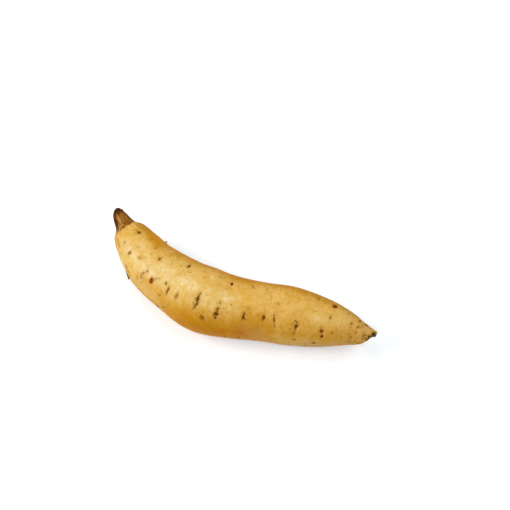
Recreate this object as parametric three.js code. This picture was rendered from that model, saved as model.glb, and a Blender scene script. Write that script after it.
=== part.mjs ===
// A sweet potato: one storage root, lying on the belly that it settles on. Millimetres, +Z up, origin under the
// middle of its bounding box, on the surface that it lies on.
//
// The root is a swept body. Its axis runs from the crown stub, where it was snapped off the vine, over the
// shoulder and the belly to the broken tail. The sections are square to the axis and a little flatter than wide.
import * as THREE from "three";
import { mergeVertices } from "three/addons/utils/BufferGeometryUtils.js";

// Stations of the axis with the half width there: [x, y, z, half width].
const STATIONS = [
  [-101.9, 24.9, 26.0, 3.0], // end of the crown stub
  [-100.1, 20.5, 25.7, 4.7],
  [-91.9, 14.9, 25.0, 7.2], // foot of the stub
  [-84.5, 10.2, 24.1, 12.8], // shoulder
  [-66.5, 0.6, 22.7, 17.6],
  [-54.0, -4.2, 21.7, 19.7],
  [-32.5, -7.7, 20.9, 21.9],
  [-13.5, -8.8, 20.7, 24.0], // thickest part of the belly
  [6.5, -4.5, 19.9, 22.4],
  [27.0, 3.0, 19.0, 21.2],
  [46.0, 9.8, 18.3, 21.0],
  [65.0, 15.6, 17.5, 18.4],
  [81.5, 20.1, 16.7, 13.7], // start of the tail
  [96.4, 22.5, 16.1, 7.9],
  [103.9, 23.8, 15.7, 4.0], // broken tip of the tail
];
const HEIGHT_SHARE = 0.95; // half height of a section, as a share of its half width

const CROWN_ROUNDING = 3.0; // stretch over which the end of the stub rounds off
const TAIL_ROUNDING = 1.6; // the same at the broken tip
const TAIL_SLANT = 0.6; // lean of the broken face: shift along the root for each millimetre across it
const TAIL_SLANT_REACH = 10; // stretch over which the sections turn into that lean

// Swellings and, below zero, hollows of the flesh: [along the root, angle around it, spread along, spread
// around, height]. Lengths in millimetres, angles in degrees: 0 is the -Y side, 90 the top, 180 the +Y side.
const SWELLINGS = [
  [47, 205, 13, 30, 1.2],
  [73, 228, 9, 26, -0.9],
  [96, 196, 14, 28, 0.9],
  [128, 214, 12, 30, -0.8],
  [152, 200, 13, 32, 1.0],
  [178, 232, 10, 34, 0.8],
  [100, 62, 2.6, 22, -0.5], // hollow around the longest rootlet scar
  [168, 45, 2.2, 14, -0.45],
];

const SETTLING = 1.0; // height over which the flattened belly eases into the round side

const RINGS = 100; // rings of vertices along the root
const AROUND = 46; // vertices in a ring
const END_CROWDING = 0.6; // how much closer the rings stand at the two ends: 0 evenly, towards 1 crowded

const SKIN = new THREE.MeshStandardMaterial({ color: "#d6a451", roughness: 0.55, metalness: 0 });

const UP = new THREE.Vector3(0, 0, 1);

const uniformCurve = (points) => {
  const curve = new THREE.CatmullRomCurve3(points, false, "catmullrom", 0.5);
  curve.arcLengthDivisions = 3000;
  return curve;
};
const axis = uniformCurve(STATIONS.map(([x, y, z]) => new THREE.Vector3(x, y, z)));
const halfWidths = uniformCurve(STATIONS.map(([, , , width]) => new THREE.Vector3(width, 0, 0)));
const rootLength = axis.getLength();

// quarter ellipse: 0 at the very end, 1 from `stretch` on
const rounding = (distance, stretch) => {
  const left = Math.max(0, 1 - distance / stretch);
  return Math.sqrt(1 - left * left);
};

// shortest way round from one angle to another, in degrees
const turnBetween = (angle, other) => ((((angle - other) % 360) + 540) % 360) - 180;

const swellingAt = (along, angle) =>
  SWELLINGS.reduce((sum, [place, side, spreadAlong, spreadAround, height]) => {
    const lengthwise = (along - place) / spreadAlong;
    const sideways = turnBetween(angle, side) / spreadAround;
    return sum + height * Math.exp(-lengthwise * lengthwise - sideways * sideways);
  }, 0);

// the belly is flat where the round section would reach below the surface, and a parabola eases it in
const settled = (z) => {
  if (z <= 0) return 0;
  return z < SETTLING ? (z * z) / (2 * SETTLING) : z - SETTLING / 2;
};

// point of the skin at a share of the root's length and an angle in degrees
function skinPoint(share, angle) {
  const t = axis.getUtoTmapping(share);
  const along = share * rootLength;
  const fromTail = rootLength - along;
  const tangent = axis.getTangent(t);
  const side = new THREE.Vector3().crossVectors(tangent, UP).normalize();
  const top = new THREE.Vector3().crossVectors(side, tangent);

  const ends = rounding(along, CROWN_ROUNDING) * rounding(fromTail, TAIL_ROUNDING);
  const width = halfWidths.getPoint(t).x * ends;
  const swelling = swellingAt(along, angle) * ends;
  const cosine = Math.cos(THREE.MathUtils.degToRad(angle));
  const sine = Math.sin(THREE.MathUtils.degToRad(angle));
  const sideways = (width + swelling) * cosine;
  const upwards = (width * HEIGHT_SHARE + swelling) * sine;
  const lean = TAIL_SLANT * Math.max(0, 1 - fromTail / TAIL_SLANT_REACH) ** 2;

  const point = axis
    .getPoint(t)
    .addScaledVector(side, sideways)
    .addScaledVector(top, upwards)
    .addScaledVector(tangent, -lean * sideways);
  point.z = settled(point.z);
  return point;
}

// A sphere's grid is stretched over the root: its rings go along the axis and its poles close the two ends.
function rootGeometry() {
  const sphere = new THREE.SphereGeometry(1, AROUND, RINGS);
  const { position, uv } = sphere.attributes;
  for (let i = 0; i < position.count; i += 1) {
    const ring = 1 - uv.getY(i);
    const share = ring - (END_CROWDING * Math.sin(2 * Math.PI * ring)) / (2 * Math.PI);
    const pole = ring < 1e-6 || ring > 1 - 1e-6;
    const point = skinPoint(THREE.MathUtils.clamp(share, 0, 1), pole ? 0 : 360 * uv.getX(i));
    position.setXYZ(i, point.x, point.y, point.z);
  }
  sphere.deleteAttribute("normal");
  sphere.deleteAttribute("uv");
  const skin = mergeVertices(sphere, 1e-3);
  skin.computeBoundingBox();
  const middle = skin.boundingBox.getCenter(new THREE.Vector3());
  skin.translate(-middle.x, -middle.y, 0);
  skin.computeVertexNormals();
  return skin;
}

const object = new THREE.Group();
const root = new THREE.Mesh(rootGeometry(), SKIN);
root.name = "sweet_potato";
object.add(root);

export default object;
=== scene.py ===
import functools
import itertools
import math

import bpy
import numpy as np
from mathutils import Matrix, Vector


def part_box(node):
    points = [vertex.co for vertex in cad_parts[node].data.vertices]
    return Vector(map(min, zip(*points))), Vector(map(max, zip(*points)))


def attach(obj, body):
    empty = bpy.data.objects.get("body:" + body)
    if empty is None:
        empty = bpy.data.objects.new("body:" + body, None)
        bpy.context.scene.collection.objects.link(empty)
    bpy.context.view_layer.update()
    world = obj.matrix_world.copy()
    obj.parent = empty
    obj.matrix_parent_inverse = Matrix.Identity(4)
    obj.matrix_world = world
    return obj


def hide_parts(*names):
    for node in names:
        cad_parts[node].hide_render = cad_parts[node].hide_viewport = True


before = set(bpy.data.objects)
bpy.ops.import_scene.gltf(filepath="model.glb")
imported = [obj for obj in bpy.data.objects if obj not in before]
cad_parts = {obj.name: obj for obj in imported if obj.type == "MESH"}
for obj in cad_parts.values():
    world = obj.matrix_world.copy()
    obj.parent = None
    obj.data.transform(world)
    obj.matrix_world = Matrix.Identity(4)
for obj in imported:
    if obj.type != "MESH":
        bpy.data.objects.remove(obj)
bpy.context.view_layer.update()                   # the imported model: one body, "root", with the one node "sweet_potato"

print("frame loaded")

millimetre = 0.001                  # shapes are worked out in mm and go into meshes in metres


# The axis runs from the crown stub, where the root was snapped off the vine, over the shoulder and the belly to
# the broken tail. Angles go round it: 0 is the -Y side, 90 the top, 180 the +Y side, 270 the belly it lies on.
rootShape = {
    "stations": [                   # x, y, z of the axis and the half width there
        (-101.9, 24.9, 26.0, 3.0),  # end of the crown stub
        (-100.1, 20.5, 25.7, 4.7),
        (-91.9, 14.9, 25.0, 7.2),   # foot of the stub
        (-84.5, 10.2, 24.1, 12.8),  # shoulder
        (-66.5, 0.6, 22.7, 17.6),
        (-54.0, -4.2, 21.7, 19.7),
        (-32.5, -7.7, 20.9, 21.9),
        (-13.5, -8.8, 20.7, 24.0),  # thickest part of the belly
        (6.5, -4.5, 19.9, 22.4),
        (27.0, 3.0, 19.0, 21.2),
        (46.0, 9.8, 18.3, 21.0),
        (65.0, 15.6, 17.5, 18.4),
        (81.5, 20.1, 16.7, 13.7),   # start of the tail
        (96.4, 22.5, 16.1, 7.9),
        (103.9, 23.8, 15.7, 4.0),   # broken tip of the tail
    ],
    "heightShare": 0.95,            # half height of a section, as a share of its half width
    "crownRounding": 3.0,           # stretch over which the end of the stub rounds off
    "tailRounding": 1.6,
    "tailSlant": 0.6,               # lean of the broken face, per millimetre across it
    "tailSlantReach": 10.0,
    "settling": 1.0,                # height over which the flattened belly eases into the round side
    "swellings": [                  # along, angle, spread along, spread around in degrees, height
        (47, 205, 13, 30, 1.2),
        (73, 228, 9, 26, -0.9),
        (96, 196, 14, 28, 0.9),
        (128, 214, 12, 30, -0.8),
        (152, 200, 13, 32, 1.0),
        (178, 232, 10, 34, 0.8),
        (100, 62, 2.6, 22, -0.5),   # hollow around the longest rootlet scar
        (168, 45, 2.2, 14, -0.45),
    ],
    "crownRings": 16,               # rings of vertices: end of the stub, body, end of the tail
    "bodyRings": 372,
    "tailRings": 12,
    "around": 244,                  # vertices in a ring
    "rolledRadius": 20.0,           # of the straight tube that patterns lie on
}


def smoothStep(low, high, value):   # 0 at low, 1 at high, eased between
    t = np.clip((value - low) / (high - low), 0, 1)
    return t * t * (3 - 2 * t)


def unit(vectors):                  # the same directions with length 1
    return vectors / np.maximum(np.linalg.norm(vectors, axis=-1, keepdims=True), 1e-9)


noiseCells = 24                     # along each side of the noise's lattice, which then repeats


def softNoise(points, cell, seed):  # random numbers on a cubic lattice, blended by smooth steps: about -1 to 1
    table = np.random.default_rng(seed).random([noiseCells] * 3) * 2 - 1
    lattice = np.floor(points / cell).astype(int)
    part = points / cell - lattice
    part = part * part * (3 - 2 * part)
    total = 0
    for corner in itertools.product((0, 1), repeat=3):
        weight = np.prod(np.where(corner, part, 1 - part), axis=-1)
        total = total + weight * table[tuple(((lattice + corner) % noiseCells)[..., k] for k in range(3))]
    return total


def catmullRom(stations, u):        # uniform Catmull-Rom curve through the stations, u from 0 to 1
    stations = np.asarray(stations, float)
    last = len(stations) - 1
    place = np.clip(u, 0, 1) * last
    span = np.minimum(place.astype(int), last - 1)
    t = (place - span)[..., None]
    reach = np.vstack([2 * stations[0] - stations[1], stations, 2 * stations[-1] - stations[-2]])
    a, b, c, d = (reach[span + k] for k in range(4))
    return 0.5 * (2 * b + (c - a) * t + (2 * a - 5 * b + 4 * c - d) * t**2 + (3 * b - a - 3 * c + d) * t**3)


curveSteps = np.linspace(0, 1, 6001)
curvePoints = catmullRom(rootShape["stations"], curveSteps)
curveTravel = np.append(0, np.cumsum(np.linalg.norm(np.diff(curvePoints[:, :3], axis=0), axis=1)))
rootLength = curveTravel[-1]


def axisAt(along):                  # centre, tangent, side, top and half width of the section at `along`
    u = np.interp(along, curveTravel, curveSteps)
    here, before, after = (catmullRom(rootShape["stations"], u + step) for step in (0, -1e-4, 1e-4))
    tangent = unit((after - before)[..., :3])
    side = unit(np.cross(tangent, (0, 0, 1)))
    return here[..., :3], tangent, side, np.cross(side, tangent), here[..., 3]


def turnBetween(angle, other):      # shortest way round from one angle to another, in degrees
    return (angle - other + 180) % 360 - 180


def bellSum(along, angle, bells):   # sum of bells: along, angle, spread along, spread around, strength
    total = 0
    for place, aside, spreadAlong, spreadAround, strength in bells:
        bell = ((along - place) / spreadAlong) ** 2 + (turnBetween(angle, aside) / spreadAround) ** 2
        total = total + strength * np.exp(-bell)
    return total + 0 * along * angle


def bodySkin(along, angle):
    # A section is an ellipse square to the axis: centre + (w + s) cos(a) side + (0.95 w + s) sin(a) top. w is the
    # half width and s the sum of the swellings, and both shrink by a quarter ellipse at the two ends. The last
    # sections lean back along the axis, and what would reach below the surface that the root lies on is flat.
    shape = rootShape
    centre, tangent, side, top, width = axisAt(along)
    fromTail = rootLength - along
    crownEnd = np.sqrt(1 - np.clip(1 - along / shape["crownRounding"], 0, 1) ** 2)
    tailEnd = np.sqrt(1 - np.clip(1 - fromTail / shape["tailRounding"], 0, 1) ** 2)
    ends = crownEnd * tailEnd
    swelling = bellSum(along, angle, shape["swellings"])
    turn = np.radians(angle)
    sideways = (width + swelling) * ends * np.cos(turn)
    upwards = (width * shape["heightShare"] + swelling) * ends * np.sin(turn)
    lean = shape["tailSlant"] * np.clip(1 - fromTail / shape["tailSlantReach"], 0, 1) ** 2
    points = (centre + sideways[..., None] * side + upwards[..., None] * top
              - (lean * sideways)[..., None] * tangent)
    z, ease = points[..., 2], shape["settling"]
    points[..., 2] = np.where(z <= 0, 0, np.where(z < ease, z * z / (2 * ease), z - ease / 2))
    return points


def roundCoordinates(along, angle, radius):    # the skin rolled back into a straight tube: no seam at any angle
    turn = np.radians(angle) + 0 * along
    return np.stack([radius * np.cos(turn), radius * np.sin(turn), along + 0 * turn], -1)


def gridNormals(points):            # outward normals of the grid, from the differences of its neighbours
    return unit(np.cross(np.gradient(points, axis=0), np.roll(points, -1, 1) - np.roll(points, 1, 1)))


# Rootlet scars: slits and pits that lie across the root, where its side roots were rubbed off. Each row is one
# stroke of a scar on the rolled out skin: along and angle of its two ends, width, depth, darkness, redness.
scarStrokes = [
    (31.5, 98, 31.5, 104, 2.1, 0.3, 0.7, 0.3),      # shoulder, with its faint trail
    (28.5, 101, 29.5, 100, 0.9, 0.1, 0.3, 0.2),
    (32, 99, 31, 86, 1.9, 0.08, 0.2, 0.2),
    (24.5, 34, 27, 33, 0.7, 0.25, 0.38, 0.9),       # reddish crease beside the stub
    (27, 33, 31, 28, 0.7, 0.25, 0.48, 1),
    (31, 56, 32.5, 51, 1, 0.15, 0.45, 0.1),
    (32.5, 51, 32.5, 43, 0.8, 0.1, 0.25, 0.1),
    (41, 44, 41, 48, 1.1, 0.2, 0.45, 0.1),
    (41, 49, 41, 54, 1.7, 0.25, 0.65, 0),
    (48.5, 62, 49.5, 66, 1.3, 0.15, 0.38, 0),
    (41, 74, 42.5, 79, 0.9, 0.1, 0.22, 0),
    (50, 104, 50, 107, 1.2, 0.2, 0.42, 0),
    (50, 107, 51, 110, 0.7, 0.1, 0.3, 0.1),
    (52, 90, 52.5, 88, 0.9, 0.1, 0.3, 0.1),
    (60, 89, 60, 94, 1.4, 0.25, 0.62, 0.1),
    (60, 94, 61, 99, 0.8, 0.2, 0.38, 0.1),
    (41, 114, 41.5, 118, 0.9, 0.1, 0.35, 0.1),
    (59, 57, 59, 55, 1.2, 0.2, 0.55, 0.1),
    (57.5, 49, 57.5, 47, 1.2, 0.2, 0.5, 0.3),       # scratches of the left flank
    (57, 44, 57.5, 38, 1.2, 0.2, 0.38, 0.4),
    (57.5, 38, 57.5, 34, 1.1, 0.2, 0.45, 0.4),
    (59, 40, 59.5, 36, 0.9, 0.1, 0.25, 0.1),
    (55, 32, 55.5, 24, 0.9, 0.1, 0.25, 0.6),
    (64.5, 49, 65.3, 42, 2.3, 0.3, 0.72, 1),        # strong rusty spot with two pits
    (64.4, 49, 64.6, 47, 0.9, 0.35, 1, 0.7),
    (65.2, 42, 65.6, 41, 1.1, 0.4, 1, 0.6),
    (66, 50, 67, 51, 1.3, 0.15, 0.4, 1),
    (67, 54, 68, 58, 0.6, 0.1, 0.3, 0.1),
    (68, 58, 69.5, 59, 0.6, 0.1, 0.35, 0.1),
    (75, 60, 75.5, 58, 1.2, 0.25, 0.65, 0.1),
    (78.5, 57, 78.5, 55, 1, 0.2, 0.35, 0.2),        # rusty slit
    (79, 55, 79, 49, 1.2, 0.3, 0.65, 0.8),
    (79, 49, 79, 44, 1.2, 0.3, 0.65, 0.4),
    (79, 44, 79.5, 41, 0.8, 0.2, 0.5, 0.1),
    (75, 30, 75.5, 32, 1.3, 0.15, 0.45, 0.4),
    (75.5, 40, 76, 38, 0.8, 0.1, 0.3, 0.3),
    (80, 10, 81, 10, 1.4, 0.2, 0.6, 0.2),
    (83.5, 18, 84, 19, 1, 0.1, 0.35, 0.2),
    (78.5, 15, 78.5, 14, 0.9, 0.1, 0.35, 0.7),
    (86.5, 58, 87, 53, 0.9, 0.2, 0.35, 0.1),        # olive slit
    (87, 53, 87, 48, 1.6, 0.3, 0.52, 0.1),
    (87, 48, 87, 45, 1.1, 0.2, 0.4, 0.2),
    (99.5, 75, 99, 69, 0.6, 0.3, 0.6, 0.1),         # longest scar, broken into pits
    (99, 69, 99, 65, 0.9, 0.4, 0.65, 0.1),
    (99, 65, 99, 60, 1.3, 0.6, 0.95, 0.3),
    (99.5, 60, 99.5, 55, 0.8, 0.4, 0.7, 0.2),
    (99.5, 55, 99.5, 52, 1, 0.35, 0.75, 0.3),
    (99, 50, 99, 47, 1, 0.3, 0.65, 0.3),
    (99, 47, 98.5, 43, 1, 0.2, 0.35, 0.2),
    (97.6, 63, 97.6, 62, 0.7, 0.05, 0.3, 0.1),
    (97.6, 60, 97.6, 59, 0.7, 0.05, 0.3, 0.1),
    (97.8, 55, 97.8, 54, 0.8, 0.05, 0.35, 0.2),
    (98, 60, 98, 59, 0.7, 0.05, 0.3, 0.1),
    (99, 52, 98, 51, 0.7, 0.05, 0.3, 0.2),
    (113, 68, 113, 66, 1, 0.2, 0.45, 0.1),          # second long scar
    (111.5, 56, 112.5, 57, 1.2, 0.3, 0.7, 0.1),
    (112, 55, 112, 50, 1.2, 0.3, 0.55, 0.2),
    (112, 48, 112.5, 45, 1.7, 0.7, 1, 0.5),
    (111, 48, 111, 44, 1.3, 0.3, 0.7, 0.3),
    (112, 40, 112, 38, 1.2, 0.4, 0.85, 0.2),
    (120, 68, 120.5, 68, 0.9, 0.1, 0.45, 0.1),
    (129.5, 58, 129, 51, 1, 0.35, 0.65, 0.2),
    (129, 51, 129, 46, 1.3, 0.5, 0.97, 0.4),
    (129, 46, 128.5, 43, 0.9, 0.2, 0.5, 0.2),
    (130.5, 46, 131, 44, 1.1, 0.2, 0.5, 0.3),
    (130, 56, 131, 54, 0.8, 0.1, 0.35, 0.1),
    (117.3, 113, 117.3, 107, 1.4, 0.55, 0.9, 0.2),  # strong spot near the upper edge
    (80.9, 116, 80.9, 108, 1.4, 0.3, 0.7, 0.1),
    (84, 99, 86, 102, 0.9, 0.1, 0.2, 0.1),
    (94, 117, 95, 116, 1.4, 0.1, 0.3, 0),
    (107, 117, 108, 117, 1.4, 0.2, 0.45, 0.1),
    (143.5, 56, 143, 49, 1.5, 0.4, 0.72, 0.3),
    (143, 49, 143, 45, 0.9, 0.2, 0.45, 0.2),
    (143.5, 58, 144, 61, 0.7, 0.1, 0.3, 0.1),
    (150.5, 62, 150.5, 56, 0.9, 0.25, 0.5, 0.1),    # thin long slit
    (150.5, 56, 151, 48, 0.8, 0.35, 0.75, 0.3),
    (151, 48, 152, 37, 0.7, 0.25, 0.4, 0.1),
    (150, 62, 151, 63, 0.9, 0.2, 0.45, 0.1),
    (146, 98, 146.5, 89, 0.6, 0.1, 0.3, 0.1),
    (151, 83, 152, 82, 0.6, 0.1, 0.4, 0.1),
    (152, 82, 152.5, 84, 0.6, 0.1, 0.35, 0.1),
    (132.5, 117, 133, 110, 0.9, 0.2, 0.4, 0.1),
    (133, 110, 134, 108, 0.7, 0.1, 0.3, 0.1),
    (143.5, 108, 143.5, 107, 0.7, 0.05, 0.3, 0.1),
    (146, 107, 146, 106, 0.7, 0.05, 0.3, 0.1),
    (167, 48, 167, 42, 1.4, 0.7, 1, 0.6),           # deep slit under a brow
    (165, 56, 166.5, 56, 0.9, 0.3, 0.55, 0.2),
    (166.5, 56, 167.5, 53, 0.9, 0.3, 0.55, 0.2),
    (167, 40, 166.5, 33, 1.2, 0.2, 0.35, 0.2),
    (168.5, 50, 168.5, 46, 0.8, 0.2, 0.5, 0.2),
    (166, 31, 166.5, 28, 1.5, 0.15, 0.4, 0.2),
    (166.5, 14, 168, 13, 1.1, 0.2, 0.55, 0.1),
    (177.5, 84, 179, 85, 0.7, 0.1, 0.25, 0.1),
    (178, 126, 178.5, 117, 1.6, 0.1, 0.35, 0),
    (168, 126, 169.5, 126, 1.3, 0.1, 0.3, 0),
    (190, 116, 191, 123, 2.5, 0.6, 1, 0.8),         # dark spot near the upper edge
    (189, 84, 189, 76, 1.2, 0.2, 0.5, 0.1),
    (184.5, 43, 185.5, 43, 2, 0.6, 1, 0.7),         # pair of dark pits
    (184.5, 51, 184.5, 46, 1.4, 0.2, 0.35, 0.6),
    (185.8, 33, 186, 27, 1.5, 0.45, 0.92, 0.8),
    (192.5, 42, 193, 43, 1.2, 0.2, 0.6, 0.2),
    (195.5, 52, 195.5, 50, 0.9, 0.1, 0.35, 0.2),
    (199.5, 49, 200, 48, 0.9, 0.1, 0.25, 0.1),
    (180.5, 6, 182, 6, 1.2, 0.2, 0.75, 0.1),
    (206, 11, 206.5, 10, 1.3, 0.2, 0.55, 0.4),      # spots of the tail
    (204, 86, 204.5, 88, 1.2, 0.2, 0.6, 0.2),
    (204.5, 75, 205, 74, 1.1, 0.1, 0.4, 0.2),
    (209, 84, 209.5, 84, 1.1, 0.2, 0.55, 0.5),
    (209, 64, 209.5, 58, 1, 0.2, 0.45, 0.2),
    (206, 40, 207, 37, 1.3, 0.1, 0.4, 0.6),
    (211.5, 94, 211.5, 92, 0.9, 0.1, 0.5, 0.4),
    (209, 123, 209.5, 119, 1.2, 0.25, 0.8, 0.2),
    (200.5, 120, 201, 118, 1.4, 0.1, 0.4, 0.5),
    (203.5, 118, 204, 118, 1, 0.1, 0.35, 0.6),
    (213, 132, 215, 128, 1.2, 0.3, 0.9, 0.1),
    (195, 135, 200, 134, 0.9, 0.05, 0.3, 0.1),      # thin dry crease along the upper edge
    (203, 134, 208, 132, 1, 0.05, 0.34, 0.1),
    (207, 4, 211, 3, 1, 0.05, 0.35, 0.4),
    (217, 132, 217.5, 133, 0.8, 0.2, 0.6, 0.1),
    (216, 128, 216, 127, 0.7, 0.1, 0.4, 0.1),
    (214, 78, 215, 64, 1.4, 0.15, 0.3, 0.5),        # brown ring before the broken tip
    (214.5, 54, 217, 65, 1.3, 0.2, 0.5, 0.6),
    (217.5, 42, 218.5, 38, 1.4, 0.2, 0.45, 0.6),
    (104, 36, 105, 32, 1.9, 0.3, 0.6, 0.6),         # smudge of the lower flank
    (105, 30, 106, 29, 1.2, 0.1, 0.4, 0.6),
    (44, 18, 46, 15, 1.3, 0.2, 0.55, 1),            # rusty groove along the left flank
    (46, 15, 48.5, 13, 1, 0.2, 0.45, 1),
    (48.5, 13, 51, 10, 0.9, 0.15, 0.35, 0.9),
    (219, 66, 219.6, 52, 1.1, 0.2, 0.95, 0.1),      # dark rim of the broken tail
    (219.6, 112, 219.9, 90, 0.9, 0.15, 0.9, 0.3),
    (219.2, 30, 219.6, 12, 1.2, 0.2, 0.95, 0.1),
    (212, 1, 216, -2, 1.2, 0.1, 0.5, 0.5),
    (215, 40, 216.5, 30, 1.6, 0.1, 0.4, 0.9),
]

scarMarks = {
    "wider": 1.3,                   # the marks with the skin that died around them, against the strokes
    "taper": 0.35,                  # how much narrower a stroke is at its two ends
    "bend": (0.22, 1.1),            # how far noise bends it, and the noise's cell
    "reach": 8,                     # how far along the root it can leave a trace
    "lip": (0.6, 0.5),              # how far out from its edge, and its spread
    # the painted highlight beside the mark: how far out from its edge, and its spread
    "rim": (0.8, 0.5),
    "rimTurn": 0.6,                 # how much it keeps to the lower side, against 1 towards the tail
    "haloReach": 1.1,
    "bowlReach": 2.0,
    "pitShare": 0.65,               # heights, as shares of the stroke's depth
    "lipShare": 0.3,
    "bowlShare": 0.3,
    "specks": 80,                   # small faint ones, all over
    "speckSeed": 31,
    "speckReach": (24, 216),
    "hiddenRows": (172, 208, 246, 288, 328),   # on the other side the scars stand in rows, as side roots do
    "hiddenFrom": 28,
    "hiddenTo": 206,
    "hiddenStep": 17,
    "hiddenSeed": 5,
}


def hiddenStrokes(settings):        # scars of the far side and the belly: broken slits in rows, seeded
    dice = np.random.default_rng(settings["hiddenSeed"])
    strokes = []
    for row in settings["hiddenRows"]:
        along = settings["hiddenFrom"] + dice.uniform(0, settings["hiddenStep"])
        while along < settings["hiddenTo"]:
            strength = dice.uniform(0.35, 1.0)
            angle = row + dice.uniform(-11, 11)
            redness = dice.uniform(0.1, 0.8)
            for _ in range(dice.integers(1, 4)):       # a slit is broken into one to three strokes
                turn = dice.uniform(3, 8) * (0.5 + strength)
                width = dice.uniform(0.8, 1.2) + 0.7 * strength * dice.random()
                lean = dice.normal(0, 0.5)
                depth = 0.15 + 0.45 * strength * dice.random()
                darkness = strength * dice.uniform(0.5, 1.0)
                strokes.append((along, angle, along + lean, angle + turn, width, depth, darkness, redness))
                along += lean + dice.normal(0, 0.4)
                angle += turn + dice.uniform(1, 5)
            along += settings["hiddenStep"] * dice.uniform(0.45, 1.5)
    return strokes


def speckStrokes(settings):         # faint short strokes and dots, anywhere between stub and tail
    dice = np.random.default_rng(settings["speckSeed"])
    strokes = []
    for _ in range(settings["specks"]):
        along, angle = dice.uniform(*settings["speckReach"]), dice.uniform(0, 360)
        length = 0.3 + 2.2 * dice.random() ** 3
        strokes.append((along, angle, along + dice.normal(0, 0.3), angle + 3 * length, dice.uniform(0.7, 1.5),
                        0.03 + 0.05 * dice.random(), dice.uniform(0.08, 0.26), dice.uniform(0, 0.4)))
    return strokes


def scarFields(points, along, angle, strokes):
    # A stroke is a straight line on the rolled out skin. d is the distance to it, bent by a little noise, and its
    # half width h shrinks towards both ends. s = 1 - d / h is 1 on the line and 0 at the edge of the mark, and the
    # stroke with the greatest s gives a point its darkness and redness. The pit is exp(-(d / h)^2), the lip a bell
    # beside it, and a shallow bowl lies around both. A pale rim on the side away from the crown and the top is a
    # painted highlight on the raised lip.
    marks = scarMarks
    far, cell = marks["bend"]
    bend, otherBend = far * softNoise(points, cell, 11), far * softNoise(points, cell, 12)
    (lipOut, lipSpread), (rimOut, rimSpread) = marks["lip"], marks["rim"]
    nearest = np.full(points.shape[:2], -3.0)
    pit, lip, bowl, dark, red, halo, highlight = (np.zeros(points.shape[:2]) for _ in range(7))
    for alongA, angleA, alongB, angleB, width, depth, darkness, redness in strokes:
        rows = np.flatnonzero(np.abs(along[:, 0] - (alongA + alongB) / 2) < marks["reach"])
        cut = slice(rows[0], rows[-1] + 1)
        radius = np.interp(alongA, curveTravel, curvePoints[:, 3])
        x = along[cut] - alongA + bend[cut]
        y = np.radians(turnBetween(angle, angleA)) * radius + otherBend[cut]
        lineX, lineY = alongB - alongA, math.radians(angleB - angleA) * radius
        t = np.clip((x * lineX + y * lineY) / max(lineX**2 + lineY**2, 1e-6), 0, 1)
        d = np.hypot(x - t * lineX, y - t * lineY)
        half = marks["wider"] * width / 2 * (1 - marks["taper"] * np.abs(2 * t - 1) ** 3)
        s = 1 - d / half
        wins = s > nearest[cut]
        dark[cut] = np.where(wins, darkness, dark[cut])
        red[cut] = np.where(wins, redness, red[cut])
        nearest[cut] = np.maximum(nearest[cut], s)
        outside = np.maximum(d - half, 0)
        away = (x - t * lineX - marks["rimTurn"] * (y - t * lineY)) / np.maximum(d, 0.1)
        rim = np.exp(-((outside - rimOut) / rimSpread) ** 2) * smoothStep(0.1, 1.0, away)
        for layer, part in ((pit, depth * np.exp(-(d / half) ** 2)),
                            (lip, depth * np.exp(-((d - half - lipOut) / lipSpread) ** 2)),
                            (bowl, depth * np.exp(-(d / (half + marks["bowlReach"])) ** 2)),
                            (halo, darkness * np.exp(-(outside / marks["haloReach"]) ** 2)),
                            (highlight, depth * rim)):
            layer[cut] = np.maximum(layer[cut], part)
    return nearest, pit, lip, bowl, dark, red, halo, highlight


# The fine relief of the skin, in mm and degrees
skinRelief = {
    "waves": [                      # height, cell and seed of the noise
        (0.25, 22.0, 1),            # slow waves
        (0.12, 8.0, 2),             # dents
        (0.03, 2.0, 3),             # uneven skin
    ],
    "rings": 0.03,                  # faint creases that run round the root
    "ringSize": 2.0,
    "ringStretch": 0.15,            # of their pattern around the root, as a share
    "wrinkles": 0.13,               # folds that run into the stub and the tail, where the root dries
    "foldSize": 1.5,
    "foldTube": (0.1, 11.0),        # their pattern lies on a tube: share of the length, radius
    "dryCrown": (34, 21),           # where the drying begins and is full, from the crown
    "dryTail": 13,                  # how far it reaches from the tail
    "stubRidges": 0.42,             # fibre bundles of the woody stub
    "ridgeSize": 1.3,
    "ridgeTube": (0.14, 8.0),
    "stubGrain": 0.2,
    "stubGrainSize": 0.9,
    "brokenFace": 0.6,              # ragged ends
    "raggedSize": 1.1,
    "raggedCrown": (3.0, 0.5),      # where they begin and are full
    "raggedTail": (2.4, 0.6),
    "tailBeak": (1.3, 142, 28),     # longer lip of the broken tail: how far it stands out, angle, spread
    "tailCut": (1.7, 280, 65),      # and how far the opposite side is broken back
    "lipReach": (4.0, 0.4),         # where both begin and are full
    "stubCrease": (0.35, 0.3, 0.7),  # where the skin meets the stub: depth, shift, spread
    "poles": (0.3, 0.8),            # share of the relief left at the two poles, and stretch that would add 1 to it
}

# The skin ends on the stub in a ragged line that reaches further down the root on one side
stubEdge = {
    "along": 17.0,
    "further": 3.5,
    "side": 70,
    "spread": 48,
    "blend": 1.5,
    "ragged": 1.7,
    "ragSizes": (2.6, 1.2),
    "stain": 2.4,                   # how far the wood stains the skin beside it
    "stainSide": (95, 45),          # angles where the stain begins and is full
    "stainStart": 8,                # so that none of it lies on the stub's end
}

# Tail: where its browner skin begins and is full, and the dark crust of the break, both with a ragged edge
tailBrown = {"reach": (34, 6), "ragged": 4, "ragSize": 9.0}
tailCrust = {"reach": 0.85, "further": 0.3, "side": 50, "ragged": 0.7, "ragSize": 1.3, "blend": 0.5}
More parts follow.
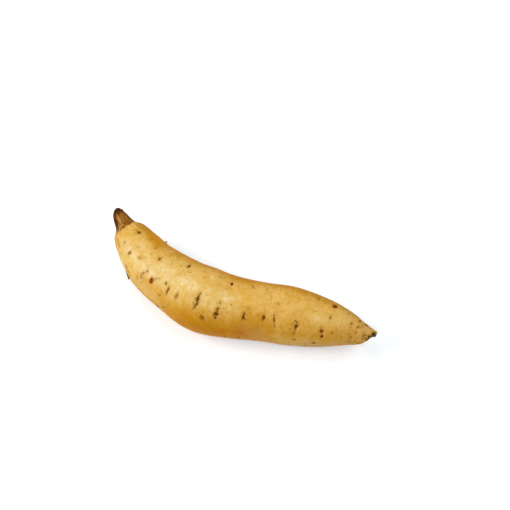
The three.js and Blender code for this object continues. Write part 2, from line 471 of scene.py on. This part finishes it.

# The stub has light (below zero) and dark parts: along, angle, spread along, spread around, strength
# the ridges paint the crests lighter and the grooves darker: partly painted light and shade
stubShade = {"base": 0.5, "ridges": -0.35}
stubShades = [
    (1.5, 84, 3, 90, 0.75),         # weathered break
    (5, 84, 2.2, 50, 0.45),
    (9, 8, 9, 24, 0.65),            # dark side
    (12, 40, 6, 16, 0.12),
    (12, 75, 5, 16, -0.3),          # light crests
    (14.5, 55, 4, 14, -0.2),
    (12.5, 113, 4, 9, -0.15),
    (11.5, 97, 2.8, 4, 0.45),       # dark furrow
    (13.4, 134, 2, 9, 0.75),
    (9, 140, 4, 14, 0.45),
    (17, 128, 1.2, 14, 0.45),
    (16.8, 82, 0.9, 6, 0.55),
    (18.8, 62, 0.8, 7, 0.4),
    (17.5, 42, 1, 6, 0.35),
    (18.5, 58, 2.2, 34, -0.28),     # thin light bark where it meets the skin
    (16.5, 71, 0.6, 3.5, -0.95),    # pale specks of bark at its foot
    (17.3, 60, 0.6, 4, -0.75),
]

# The tone of the skin goes from 0, deep ochre, to 1, cream. It changes in the folds that fan out from the stub and
# by bells: along, angle, spread along, spread around, strength
skinTone = {"base": 0.45, "streaks": 0.26, "streaksEnd": (60, 30)}
toneBells = [
    (110, 82, 500, 40, 0.34),       # painted light: the side facing up is painted paler
    # painted shade along the whole upper edge
    (110, 142, 500, 18, -0.2),
    (110, 215, 500, 50, 0.1),
    (43, 52, 22, 30, 0.36),         # cream shoulder, partly a painted highlight
    (38, 8, 14, 20, 0.22),
    (25, 4, 7, 24, -0.35),
    (68, 10, 16, 18, 0.22),
    (40, 70, 18, 10, -0.08),
    (84, 66, 28, 28, 0.13),         # cream patch over the belly, partly a painted highlight
    (84, 108, 18, 12, 0.1),
    (114, 8, 30, 22, -0.34),        # darker ochre on the flank below it: painted shade
    (142, 46, 12, 12, -0.14),
    (142, 24, 14, 16, -0.12),
    (140, 80, 14, 20, -0.09),
    (108, 110, 16, 11, 0.1),
    (93, 131, 9, 9, 0.13),
    (57, 130, 9, 9, 0.15),
    (33, 112, 6, 10, 0.1),
    (68, 50, 7, 9, 0.12),
    # painted shade on the lower flank, this one and the next
    (106, 10, 10, 12, -0.14),
    (94, 4, 11, 12, -0.18),
    # painted shade along the lower left edge
    (36, -12, 26, 14, -0.38),
    # painted shade on the upper edge of the shoulder
    (40, 118, 16, 13, -0.2),
    (62, 128, 10, 12, 0.14),
    (27, 92, 6, 36, -0.12),
    (98, 128, 12, 12, 0.18),
    (168, 6, 26, 16, 0.1),
    (181, 70, 7, 10, 0.08),
    (172, 122, 14, 14, -0.1),
    (204, 128, 10, 18, 0.22),
    (208, 80, 8, 40, -0.08),
    (34, 172, 9, 20, -0.12),        # clouds of the far side and the side it lies on
    (60, 159, 8, 13, 0.2),
    (86, 176, 10, 24, -0.2),
    (111, 160, 8, 13, 0.17),
    (140, 180, 13, 22, -0.18),
    (160, 158, 8, 12, 0.16),
    (182, 170, 8, 16, -0.12),
    (199, 160, 8, 14, 0.14),
    (60, 215, 22, 34, 0.26),
    (122, 190, 22, 26, 0.24),
    (186, 200, 16, 30, 0.2),
    (150, 255, 24, 30, 0.24),
]

# Places where the colour leaves that scale, in bells as above. Some are painted shade and painted bounce light.
skinTints = {
    "straw": [
        (36, 34, 14, 40, 0.8),
        (38, 4, 10, 16, 0.7),
        (26, 30, 5, 10, 0.5),
        (54, 10, 8, 10, 0.4),
        (173, 10, 13, 9, 0.45),
        (70, 14, 16, 14, 0.45),
        (70, 56, 8, 12, 0.55),
        (82, 48, 8, 10, 0.45),
    ],
    "gold": [
        (26, 44, 6, 44, 0.6),
        (40, 72, 14, 12, 0.7),
        (52, 76, 14, 12, 0.5),
        (36, 92, 10, 12, 0.4),
        (78, 92, 18, 11, 0.6),
        (106, 89, 14, 11, 0.45),
        (136, 90, 18, 13, 0.65),
        (76, 32, 9, 9, 0.4),
        (182, 78, 10, 12, 0.35),
        (100, 10, 16, 13, 0.7),
        (192, 38, 14, 18, 0.95),
        (206, 40, 8, 16, 0.5),
    ],
    "orange": [
        # painted bounce light and shade along the upper edge of the shoulder, this one and the next
        (40, 130, 9, 11, 1),
        (56, 140, 13, 9, 0.6),
        (48, 14, 4, 6, 0.5),
    ],
    "amber": [
        # painted shade along the lower left edge
        (38, -15, 14, 9, 0.5),
        # painted bounce light and shade on the lower flank
        (104, 24, 18, 18, 0.75),
        (192, 30, 16, 15, 0.35),
        # painted shade along the upper edge, from here to the end of the list
        (98, 141, 13, 10, 0.45),
        (128, 134, 13, 10, 0.65),
        (152, 138, 9, 9, 0.5),
        (173, 133, 12, 10, 0.55),
    ],
    "olive": [
        # painted shade along the upper edge, all three
        (68, 122, 14, 8, 0.4),
        (27, 128, 7, 12, 0.6),
        (196, 132, 20, 14, 0.9),
    ],
    "flush": [
        # painted bounce light from the floor on the lower flank, the first four
        (138, 20, 15, 16, 0.45),
        (160, -12, 24, 15, 0.8),
        (186, -8, 22, 18, 0.72),
        (205, 4, 10, 14, 0.5),
        (214, 18, 7, 40, 0.35),
        (216, 106, 4, 34, 0.6),
        (220, 150, 3, 50, 0.9),
        (62, 24, 10, 10, 0.3),
    ],
}


def makeRoot():
    # Every point of the body moves along its normal by a height: noise on the points or on the rolled out skin,
    # and the scars. What the skin's material needs is worked out on the same grid.
    shape, relief, marks = rootShape, skinRelief, scarMarks
    quarter = np.linspace(0, math.pi / 2, shape["crownRings"] + 1)
    crown = shape["crownRounding"] * (1 - np.cos(quarter))
    quarter = np.linspace(math.pi / 2, 0, shape["tailRings"] + 1)
    tail = rootLength - shape["tailRounding"] * (1 - np.cos(quarter))
    body = np.linspace(crown[-1], tail[0], shape["bodyRings"] + 1)
    along = np.concatenate([crown[:-1], body, tail[1:]])[:, None]
    angle = np.arange(shape["around"])[None] * 360 / shape["around"]
    fromTail = rootLength - along
    points = bodySkin(along, angle)
    tangent = axisAt(along)[1]
    (beak, beakAngle, beakSpread), (cut, cutAngle, cutSpread) = relief["tailBeak"], relief["tailCut"]
    lip = (beak * np.exp(-(turnBetween(angle, beakAngle) / beakSpread) ** 2)
           - cut * np.exp(-(turnBetween(angle, cutAngle) / cutSpread) ** 2))
    points += (lip * smoothStep(*relief["lipReach"], fromTail))[..., None] * tangent
    normals = gridNormals(points)
    normals[0], normals[-1] = -tangent[0], tangent[-1]

    straight = roundCoordinates(along, angle, shape["rolledRadius"])
    onSide = np.exp(-(turnBetween(angle, stubEdge["side"]) / stubEdge["spread"]) ** 2)
    edge = stubEdge["along"] + stubEdge["further"] * onSide
    coarse, fine = stubEdge["ragSizes"]
    edge = edge + stubEdge["ragged"] * (softNoise(straight, coarse, 21) + 0.6 * softNoise(straight, fine, 25))
    stub = 1 - smoothStep(edge - stubEdge["blend"], edge + stubEdge["blend"], along)
    drying = smoothStep(*relief["dryCrown"], along) + np.exp(-(fromTail / relief["dryTail"]) ** 2)

    height = 0
    for rise, cell, seed in relief["waves"]:
        height = height + rise * softNoise(points, cell, seed)
    stretch = relief["ringStretch"]
    ringPlace = np.stack([straight[..., 2], straight[..., 0] * stretch, straight[..., 1] * stretch], -1)
    height += relief["rings"] * softNoise(ringPlace, relief["ringSize"], 4)
    share, radius = relief["foldTube"]
    foldPlace = roundCoordinates(along * share, angle, radius)
    folds = drying * (1 - stub) * (softNoise(foldPlace, relief["foldSize"], 5)
                                   + 0.6 * softNoise(foldPlace, relief["foldSize"] / 2, 9))
    height += relief["wrinkles"] * folds
    share, radius = relief["ridgeTube"]
    ridges = softNoise(roundCoordinates(along * share, angle, radius), relief["ridgeSize"], 6)
    grain = softNoise(points, relief["stubGrainSize"], 7)
    height += stub * (relief["stubRidges"] * ridges + relief["stubGrain"] * grain)
    raggedEnd = smoothStep(*relief["raggedCrown"], along) + smoothStep(*relief["raggedTail"], fromTail)
    height += relief["brokenFace"] * raggedEnd * softNoise(points, relief["raggedSize"], 8)
    depth, back, spread = relief["stubCrease"]
    height -= depth * np.exp(-((along - edge + back) / spread) ** 2)

    strokes = scarStrokes + hiddenStrokes(marks) + speckStrokes(marks)
    nearest, pit, lip, bowl, dark, red, halo, highlight = scarFields(points, along, angle, strokes)
    marked = marks["lipShare"] * lip - marks["pitShare"] * pit - marks["bowlShare"] * bowl
    height += marked * (1 - stub)
    least, stretch = relief["poles"]
    height *= np.minimum(1, np.minimum(along, fromTail) / stretch + least)
    points = points + height[..., None] * normals
    points[..., 2] = np.maximum(points[..., 2], 0)

    tailEdge = fromTail + tailBrown["ragged"] * softNoise(straight, tailBrown["ragSize"], 24)
    crust, blend = tailCrust, tailCrust["blend"]
    crustEdge = (crust["reach"] + crust["further"] * np.cos(np.radians(angle - crust["side"]))
                 + crust["ragged"] * softNoise(straight, crust["ragSize"], 22))
    stain = np.exp(-np.maximum(along - edge, 0) / stubEdge["stain"]) * smoothStep(*stubEdge["stainSide"], angle)
    fields = {
        "stub": stub,
        "stubShade": stubShade["base"] + bellSum(along, angle, stubShades) + stubShade["ridges"] * ridges,
        "stubStain": stain * (along > stubEdge["stainStart"]),
        "tail": smoothStep(*tailBrown["reach"], tailEdge),
        "crust": smoothStep(crustEdge + blend, crustEdge - blend, fromTail),
        "scar": nearest,
        "scarDark": dark * (1 - stub),
        "scarRed": red,
        "scarHalo": halo * (1 - stub),
        "scarHighlight": highlight * (1 - stub),
    }
    streaks = skinTone["streaks"] * folds * smoothStep(*skinTone["streaksEnd"], along)
    fields["tone"] = skinTone["base"] + bellSum(along, angle, toneBells) + streaks
    for tint, bells in skinTints.items():
        fields[tint] = np.clip(bellSum(along, angle, bells), 0, 1)
    return points, straight, fields


def flatten(values):                # a tube's values, with one in place of its first ring and one of its last
    inside = values[1:-1].reshape(-1, *values.shape[2:])
    return np.concatenate([values[:1].mean(1), inside, values[-1:].mean(1)])


def tubeFaces(rings, around, start, turned):
    # quads between the inner rings of a tube and a fan of triangles at each end. `turned` is for a tube whose
    # vertices go round the other way.
    ring = start + 1 + np.arange(rings)[:, None] * around
    here = np.arange(around)[None]
    nextOne = (here + 1) % around
    quads = np.stack([ring[:-1] + here, ring[:-1] + nextOne, ring[1:] + nextOne, ring[1:] + here], -1)
    firstFan = np.stack([0 * here + start, ring[:1] + nextOne, ring[:1] + here], -1)
    lastFan = np.stack([ring[-1:] + around + 0 * here, ring[-1:] + here, ring[-1:] + nextOne], -1)
    faces = []
    for part in (quads, firstFan, lastFan):
        faces += (part[..., ::-1] if turned else part).reshape(-1, part.shape[-1]).tolist()
    return faces


def makePiece(name, points, faces):  # a smooth mesh of points in mm, on an object at the origin
    mesh = bpy.data.meshes.new(name)
    mesh.from_pydata(points * millimetre, [], faces)
    mesh.shade_smooth()
    mesh.update()
    piece = bpy.data.objects.new(name, mesh)
    bpy.context.scene.collection.objects.link(piece)
    print(name + ":", len(faces), "faces")
    return piece


def frameShift():                   # from the axis's own coordinates to the frame's, in mm
    low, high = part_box("sweet_potato")
    rough = bodySkin(np.linspace(0, rootLength, 400)[:, None], np.arange(0, 360, 4.0)[None]).reshape(-1, 3)
    middle = (rough.min(0) + rough.max(0)) / 2
    x, y = (low.x + high.x) / 2 / millimetre, (low.y + high.y) / 2 / millimetre
    return np.array([x - middle[0], y - middle[1], 0])


shift = frameShift()
skinPoints, rolledOut, skinFields = makeRoot()
skinFaces = tubeFaces(len(skinPoints) - 2, rootShape["around"], 0, True)
root = makePiece("root_skin", flatten(skinPoints + shift), skinFaces)
for field, values in {**skinFields, "rolledOut": rolledOut}.items():
    kind, slot = ("FLOAT", "value") if values.ndim == 2 else ("FLOAT_VECTOR", "vector")
    layer = root.data.attributes.new(field, kind, "POINT")
    layer.data.foreach_set(slot, flatten(values).astype(np.float32).ravel())
print("length along the curve:", round(rootLength, 1), "mm")


# Thin side roots that washing left on the skin. Each is a path of points: along, angle, height of its middle over
# the skin, half thickness.
rootletShape = {
    "paths": [
        [(45, 3, -0.15, 0.12), (47, 1, 0.05, 0.2), (49, -1, 0.3, 0.36), (50.3, -3, 0.5, 0.5),
         (50.9, -4, 0.6, 0.46)],
        [(44.8, 163, -0.4, 0.55), (45, 163.5, 0.5, 0.5), (45.3, 164, 1.2, 0.35)],
        [(84, 201, -0.2, 0.45), (85, 205, 0.3, 0.4), (87, 210, 0.4, 0.35), (90, 213, 0.3, 0.25)],
        [(139, 192, -0.4, 0.55), (139.5, 191, 0.4, 0.5), (140, 190, 1, 0.3)],
        [(171, 218, -0.1, 0.35), (173, 214, 0.3, 0.35), (176.5, 212, 0.3, 0.25), (179, 215, 0.2, 0.15)],
    ],
    "rings": 22,
    "around": 10,
    "knots": 0.25,                  # uneven thickness, as a share of it
    "knotSize": 0.9,
}


def makeRootlets(settings):
    # A rootlet is a tube: its middle runs on a Catmull-Rom curve through points that stand over the skin, its
    # section is a circle square to that curve, and both its ends are rounded off to a point.
    rings, around = settings["rings"], settings["around"]
    u = np.linspace(0, 1, rings)
    roundOff = np.sqrt(np.clip(1 - (2 * u - 1) ** 8, 0, 1))
    turn = np.radians(np.arange(around) * 360 / around)[None, :, None]
    points, faces = [], []
    for number, path in enumerate(settings["paths"]):
        along, angle, lift, thickness = catmullRom(path, u).T
        angle = angle % 360
        here = bodySkin(along, angle)
        outward = unit(np.cross(bodySkin(along + 0.2, angle) - here, bodySkin(along, angle + 0.5) - here))
        middle = here + lift[:, None] * outward + shift
        tangent = unit(np.gradient(middle, axis=0))
        first = unit(np.cross(tangent, outward))
        second = np.cross(tangent, first)
        noise = softNoise(middle[:, None] + 3 * np.cos(turn), settings["knotSize"], 41 + number)
        radius = (thickness * roundOff)[:, None, None] * (1 + settings["knots"] * noise)[..., None]
        tube = middle[:, None] + radius * (np.cos(turn) * first[:, None] + np.sin(turn) * second[:, None])
        faces += tubeFaces(rings - 2, around, sum(map(len, points)), False)
        points.append(flatten(tube))
    return makePiece("rootlets", np.concatenate(points), faces)


rootlets = makeRootlets(rootletShape)


def linearColour(code):             # "#rrggbb" as sRGB, turned to linear with alpha 1
    channels = [int(code[k:k + 2], 16) / 255 for k in (1, 3, 5)]
    return [c / 12.92 if c <= 0.04045 else ((c + 0.055) / 1.055) ** 2.4 for c in channels] + [1]


def addNode(tree, kind, inputs=None, **settings):
    # a shader node with its settings. A socket gets a value, a hex colour, or a link from a socket or from the
    # first output in use of another node.
    node = tree.nodes.new("ShaderNode" + kind)
    for key, value in settings.items():
        setattr(node, key, value)
    for key, value in (inputs or {}).items():
        if isinstance(value, bpy.types.Node):
            value = next(output for output in value.outputs if output.enabled)
        if isinstance(value, bpy.types.NodeSocket):
            tree.links.new(value, node.inputs[key])
        else:
            node.inputs[key].default_value = linearColour(value) if isinstance(value, str) else value
    return node


def newMaterial(name):              # an empty material, and what adds nodes to it
    material = bpy.data.materials.new(name)
    material.use_nodes = True
    material.node_tree.nodes.clear()
    return material, functools.partial(addNode, material.node_tree)


def perMetre(size):                 # texture scale for a pattern whose cells are `size` mm across
    return 1 / (size * millimetre)


skinLook = {
    "tones": [                      # place on the scale of the tone, colour
        (0, "#b96c02"),
        (0.2, "#c57f08"),
        (0.38, "#cc8f1e"),
        (0.52, "#d29c3a"),
        (0.68, "#dcac54"),
        (0.82, "#e1b966"),
        (0.93, "#e6c785"),
        (1, "#ebd198"),
    ],
    "mottles": [                    # cell in mm, detail, change of the tone at the noise's lowest and highest
        (24.0, 2.0, 0.11),
        (11.0, 3.0, 0.15),
        (5.0, 2.5, 0.14),
        (2.2, 2.0, 0.09),
        (1.1, 2.0, 0.06),
    ],
    "striae": 0.06,                 # change of the tone in the faint lines round the root
    "striaeScale": (0.11, 0.11, 0.9),  # cells 9 mm around and 1.1 mm along, on the rolled out skin
    "noises": {                     # seed, cell in mm, detail, roughness
        "cloud": (8.8, 6.0, 3.0, 0.55),
        "wobble": (2.2, 0.9, 2.0, 0.5),
        "crumbs": (6.1, 0.8, 2.5, 0.6),
        "fine": (4.4, 0.9, 3.0, 0.6),
    },
    "ranges": {                     # what is read, its low and high, the result at both, and the way between
        "uneven": ("cloud", 0.34, 0.66, 0.45, 1.35, "LINEAR"),           # edges of the tints
        "satin": ("cloud", 0.3, 0.7, 0.66, 0.54, "SMOOTHSTEP"),          # roughness of the skin
        "bodyFreckles": ("tail", 0, 1, 0.32, 0.15, "LINEAR"),
        "tailFreckles": ("tail", 0.15, 0.9, 0, 0.75, "SMOOTHSTEP"),
        "worn": ("crumbs", 0.32, 0.62, 0.25, 1, "SMOOTHSTEP"),           # gaps in a scar's painted lip highlight and halo
        "ragged": ("crumbs", 0.3, 0.7, -0.7, 0.7, "LINEAR"),             # broken edge of a scar
        "density": ("scarDark", 0.05, 0.75, 0.12, 1, "LINEAR"),
        "strong": ("scarDark", 0.3, 0.85, 0, 1, "SMOOTHSTEP"),
        "paleCrumbs": ("crumbs", 0.52, 0.66, 0, 1, "SMOOTHSTEP"),
    },
    "tints": [                      # attribute, colour, share at full strength
        ("straw", "#dcc078", 0.6),
        ("gold", "#daa436", 0.65),
        # orange, amber, olive and flush also carry painted shade and painted bounce light
        ("orange", "#d48a00", 0.9),
        ("amber", "#b87c00", 0.75),
        ("olive", "#ac8e3e", 0.7),
        ("flush", "#c8a066", 0.8),
        ("stubStain", "#a8642c", 0.65),
    ],
    "tailSkin": ("#cf9f54", 0.45),  # colour and share
    "freckles": [                   # colour, spacing in mm, share of the cells that stay empty, strength
        ("#9a6a1c", 3, 0.35, "bodyFreckles"),
        ("#835714", 2.8, 0.15, "tailFreckles"),
    ],
    "scarHighlight": ("#ecc88c", 1.6),   # colour and strength of the painted highlight on a scar's lip
    "scarHalo": ("#b47c0c", 0.75),
    "redHalo": "#be6c10",
    "scarWeak": "#ac7602",
    "scarCore": "#7c4c00",
    "scarRed": "#9e4e00",
    "scarDeep": "#462000",
    "stubLight": "#c8965a",
    "stubWood": [                   # darker wood: colour, shade where it starts and is full
        ("#9c6722", 1.05, 1.4),
        ("#744216", 1.5, 1.85),
        ("#2e1a08", 1.9, 2.35),
    ],
    "stubContrast": 2.2,
    "grainScale": (1.1, 1.1, 0.45),  # cells 0.9 mm around and 2.2 mm along
    "crustDark": "#382607",
    "crustLight": "#c9a066",
    "dullness": 0.3,                # added to the roughness where it is woody
    "skinBump": (0.22, 0.2),        # strength, and depth in mm
    "dryBump": (0.9, 0.5),
    "specular": 0.09,               # cork holds air, so it reflects less than its wax alone
    "specularTint": "#ffdd95",
}


def sweetPotatoSkin():
    # Cured sweet potato skin: a thin, dry, tan cork over pale flesh. It has a soft satin sheen, clouds of cream
    # and ochre, fine darker freckles, and dark woody scars. Stub and broken tail are dry, brown and dull.
    look = skinLook
    material, add = newMaterial("sweet_potato_skin")
    fourD, eased, blend = {"noise_dimensions": "4D"}, {"interpolation_type": "SMOOTHSTEP"}, {"data_type": "RGBA"}
    times, plus, larger = {"operation": "MULTIPLY"}, {"operation": "ADD"}, {"operation": "MAXIMUM"}
    timesPlus, capped = {"operation": "MULTIPLY_ADD"}, {"operation": "MULTIPLY", "use_clamp": True}
    place = add("TexCoord").outputs["Object"]
    rolled = add("Attribute", attribute_name="rolledOut").outputs["Vector"]
    field = {}
    for name in skinFields:
        field[name] = add("Attribute", attribute_name=name).outputs["Fac"]
    for name, (seed, cell, detail, rough) in look["noises"].items():
        field[name] = add("TexNoise", {
            "Vector": place, "W": seed, "Scale": perMetre(cell), "Detail": detail, "Roughness": rough}, **fourD)
    for name, (source, low, high, atLow, atHigh, between) in look["ranges"].items():
        field[name] = add("MapRange", {
            "Value": field[source], "From Min": low, "From Max": high, "To Min": atLow, "To Max": atHigh},
            interpolation_type=between)

    # mottled skin: clouds, blotches and flecks shift the tone, and so do faint lines round the root
    tone = field["tone"]
    lines = add("Mapping", {"Vector": rolled, "Scale": look["striaeScale"]})
    mottles = [(place, 3.7 * number + 1.3, perMetre(cell), detail, change)
               for number, (cell, detail, change) in enumerate(look["mottles"])]
    for vector, seed, scale, detail, change in mottles + [(lines, 0.4, 1.0, 3.0, look["striae"])]:
        pattern = add("TexNoise", {
            "Vector": vector, "W": seed, "Scale": scale, "Detail": detail, "Roughness": 0.55}, **fourD)
        added = add("MapRange", {
            "Value": pattern, "From Min": 0.2, "From Max": 0.8, "To Min": -change, "To Max": change}, clamp=False)
        tone = add("Math", {0: tone, 1: added}, **plus)
    colour = add("ValToRGB", {"Fac": tone})
    stops = colour.color_ramp.elements
    for spot, code in look["tones"][1:-1]:
        stops.new(spot)
    for stop, (spot, code) in zip(stops, look["tones"]):
        stop.position, stop.color = spot, linearColour(code)

    # tinted spots, each with a soft uneven edge, and the browner tail. Some tints are painted shade along the
    # edges and painted bounce light on the lower flank. Every layer is a cover and a colour.
    layers = []
    for name, code, share in look["tints"]:
        spread = add("Math", {0: field[name], 1: field["uneven"]}, **times)
        layers.append((add("Math", {0: spread, 1: share}, **capped), code))
    tailColour, share = look["tailSkin"]
    layers.append((add("Math", {0: field["tail"], 1: share}, **times), tailColour))

    # freckles: some of the cells of a Voronoi pattern hold a dot, faint on the body and brown on the tail
    for code, spacing, few, strength in look["freckles"]:
        cells = add("TexVoronoi", {"Vector": place, "Scale": perMetre(spacing)})
        lot = add("SeparateColor", {0: cells.outputs["Color"]})
        chosen = add("MapRange", {"Value": lot, "From Min": few, "From Max": few + 0.25})
        reach = add("Math", {0: field["wobble"], 1: 0.35, 2: cells.outputs["Distance"]}, **timesPlus)
        dot = add("MapRange", {"Value": reach, "From Min": 0.56, "From Max": 0.26}, **eased)
        both = add("Math", {0: dot, 1: chosen}, **times)
        layers.append((add("Math", {0: both, 1: field[strength]}, **times), code))

    # scars: a painted highlight on the lip, a stained halo, then the mark itself, dark in its middle where it is
    # strong
    (highlightColour, highlightShare), (haloColour, haloShare) = look["scarHighlight"], look["scarHalo"]
    stain = add("Mix", {0: field["scarRed"], 6: haloColour, 7: look["redHalo"]}, **blend)
    for name, code, share in (("scarHighlight", highlightColour, highlightShare), ("scarHalo", stain, haloShare)):
        cover = add("Math", {0: field[name], 1: field["worn"]}, **times)
        layers.append((add("Math", {0: cover, 1: share}, **capped), code))
    level = add("Math", {0: field["scar"], 1: field["ragged"]}, **plus)
    inside = add("MapRange", {"Value": level, "From Min": -0.4, "From Max": 0.25}, **eased)
    scarCover = add("Math", {0: inside, 1: field["density"]}, **times)
    woody = add("Mix", {0: field["scarRed"], 6: look["scarCore"], 7: look["scarRed"]}, **blend)
    mark = add("Mix", {0: field["strong"], 6: look["scarWeak"], 7: woody}, **blend)
    centre = add("MapRange", {"Value": level, "From Min": 0.3, "From Max": 1.0, "To Max": 0.95}, **eased)
    deep = add("Math", {0: centre, 1: field["strong"]}, **times)
    layers.append((scarCover, add("Mix", {0: deep, 6: mark, 7: look["scarDeep"]}, **blend)))

    # stub: bundles of fibre, lighter on their crests and darker between them, partly painted light and shade
    # that follow the relief, with a finer grain along them
    fibres = add("Mapping", {"Vector": rolled, "Scale": look["grainScale"]})
    grain = add("TexNoise", {"Vector": fibres, "W": 1.9, "Scale": 1.0, "Detail": 4.0, "Roughness": 0.65}, **fourD)
    shade = add("Math", {0: grain, 1: look["stubContrast"], 2: field["stubShade"]}, **timesPlus)
    wood = look["stubLight"]
    for code, start, full in look["stubWood"]:
        cover = add("MapRange", {"Value": shade, "From Min": start, "From Max": full}, **eased)
        wood = add("Mix", {0: cover, 6: wood, 7: code}, **blend)
    flaking = add("Math", {0: field["crumbs"], 1: 2.4, 2: field["stub"]}, **timesPlus)
    bark = add("MapRange", {"Value": flaking, "From Min": 1.55, "From Max": 1.85}, **eased)
    layers.append((bark, wood))

    # broken tail: dry flesh gone dark, with paler crumbs
    crust = add("Mix", {0: field["paleCrumbs"], 6: look["crustDark"], 7: look["crustLight"]}, **blend)
    layers.append((field["crust"], crust))
    for cover, code in layers:
        colour = add("Mix", {0: cover, 6: colour, 7: code}, **blend)

    # dull where it is woody, satin elsewhere
    dry = add("Math", {0: field["stub"], 1: field["crust"]}, **larger)
    dry = add("Math", {0: dry, 1: scarCover}, **larger)
    rough = add("Math", {0: dry, 1: look["dullness"], 2: field["satin"]}, **timesPlus)

    # fine relief too small for the mesh: skin grain 0.9 mm across, and wood grain on the dry parts
    strength, depth = look["skinBump"]
    skinBump = add("Bump", {"Strength": strength, "Distance": depth * millimetre, "Height": field["fine"]})
    dryGrain = add("Math", {0: grain, 1: field["crumbs"]}, **plus)
    dryHeight = add("Math", {0: dryGrain, 1: dry}, **times)
    strength, depth = look["dryBump"]
    bump = add("Bump", {
        "Strength": strength, "Distance": depth * millimetre, "Height": dryHeight, "Normal": skinBump})
    shader = add("BsdfPrincipled", {
        "Base Color": colour, "Roughness": rough, "Normal": bump, "IOR": 1.45,
        "Specular IOR Level": look["specular"], "Specular Tint": look["specularTint"],
        "Subsurface Weight": 0.1, "Subsurface Radius": (1.0, 0.45, 0.15), "Subsurface Scale": 2.0 * millimetre})
    add("OutputMaterial", {"Surface": shader})
    return material


rootletLook = {"dark": "#583f16", "light": "#94692a", "roughness": 0.8, "specular": 0.15}


def driedRootlet():
    # Dried side root: a brown, dull, fibrous thread
    look = rootletLook
    material, add = newMaterial("dried_rootlet")
    place = add("TexCoord").outputs["Object"]
    patches = add("TexNoise", {"Vector": place, "Scale": perMetre(1.2), "Detail": 3.0})
    cover = add("MapRange", {"Value": patches, "From Min": 0.4, "From Max": 0.62}, interpolation_type="SMOOTHSTEP")
    colour = add("Mix", {0: cover, 6: look["dark"], 7: look["light"]}, data_type="RGBA")
    bump = add("Bump", {"Strength": 0.6, "Distance": 0.2 * millimetre, "Height": patches})
    shader = add("BsdfPrincipled", {
        "Base Color": colour, "Roughness": look["roughness"], "Specular IOR Level": look["specular"],
        "Normal": bump})
    add("OutputMaterial", {"Surface": shader})
    return material


root.data.materials.append(sweetPotatoSkin())
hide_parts("sweet_potato")
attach(root, "root")
rootlets.data.materials.append(driedRootlet())
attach(rootlets, "root")
print("skin finished")


studio = {
    "target": (1.2, 40.5, 19.0),    # mm, what the middle of the picture looks at
    "azimuth": 28.5,                # of the camera, in degrees from the -Y side towards +X
    "elevation": 60.0,
    "distance": 1.02,               # metres
    "lens": 100.0,
    "floorSize": 6.0,               # metres
    "floorPaper": "#f0ecde",
    "floorGlow": "#c1ddff",
    "floorGlowStrength": 0.43,
    "floorFade": (0.35, 1.0),       # distances, in metres, over which the floor turns all white, like the air
    "lights": [                     # name, azimuth, elevation, distance from the target and size in m, power in W
        ("left_softbox", -61.5, 32.0, 1.2, 0.7, 9.0),
        ("front_softbox", 28.5, 55.0, 1.2, 0.7, 4.6),
        ("right_softbox", 100.5, 55.0, 1.2, 0.7, 3.8),
        ("far_right_softbox", 148.5, 32.0, 1.2, 0.7, 4.0),
        ("back_softbox", -115.5, 55.0, 1.2, 0.7, 3.3),
    ],
}


def aim(thing, target, azimuth, elevation, distance):      # stands a camera or lamp off the target, turned to it
    turn, rise = math.radians(azimuth), math.radians(elevation)
    towards = Vector((math.sin(turn) * math.cos(rise), -math.cos(turn) * math.cos(rise), math.sin(rise)))
    thing.location = target + towards * distance
    thing.rotation_euler = (-towards).to_track_quat("-Z", "Y").to_euler()
    bpy.context.scene.collection.objects.link(thing)


def makeStudio():
    scene = bpy.context.scene
    target = Vector(studio["target"]) * millimetre
    camera = bpy.data.objects.new("camera", bpy.data.cameras.new("camera"))
    camera.data.lens, camera.data.sensor_width = studio["lens"], 36.0
    aim(camera, target, studio["azimuth"], studio["elevation"], studio["distance"])
    scene.camera = camera

    half = studio["floorSize"] / 2
    mesh = bpy.data.meshes.new("floor")
    mesh.from_pydata([(-half, -half, 0), (half, -half, 0), (half, half, 0), (-half, half, 0)], [], [(0, 1, 2, 3)])
    floor = bpy.data.objects.new("floor", mesh)
    paper, add = newMaterial("white_paper_sweep")          # matt white paper, a little overlit
    place = add("TexCoord").outputs["Object"]
    away = add("VectorMath", {0: place}, operation="LENGTH").outputs["Value"]
    near, far = studio["floorFade"]
    fade = add("MapRange", {"Value": away, "From Min": near, "From Max": far})
    glow = [c * studio["floorGlowStrength"] for c in linearColour(studio["floorGlow"])]
    light = add("Mix", {0: fade, 6: glow, 7: "#ffffff"}, data_type="RGBA")
    shader = add("BsdfPrincipled", {
        "Base Color": studio["floorPaper"], "Roughness": 0.9, "Emission Color": light, "Emission Strength": 1.0})
    add("OutputMaterial", {"Surface": shader})
    mesh.materials.append(paper)
    scene.collection.objects.link(floor)

    for name, azimuth, elevation, distance, size, power in studio["lights"]:
        lamp = bpy.data.lights.new(name, "AREA")
        lamp.shape, lamp.size, lamp.energy = "DISK", size, power
        aim(bpy.data.objects.new(name, lamp), target, azimuth, elevation, distance)

    world = bpy.data.worlds.new("studio_white")            # seen as white behind the floor, but it lights nothing
    world.use_nodes = True
    background = world.node_tree.nodes["Background"]
    background.inputs["Color"].default_value = linearColour("#ffffff")
    rays = addNode(world.node_tree, "LightPath")
    world.node_tree.links.new(rays.outputs["Is Camera Ray"], background.inputs["Strength"])
    scene.world = world
    scene.view_settings.view_transform = "Standard"


makeStudio()
print("studio finished")
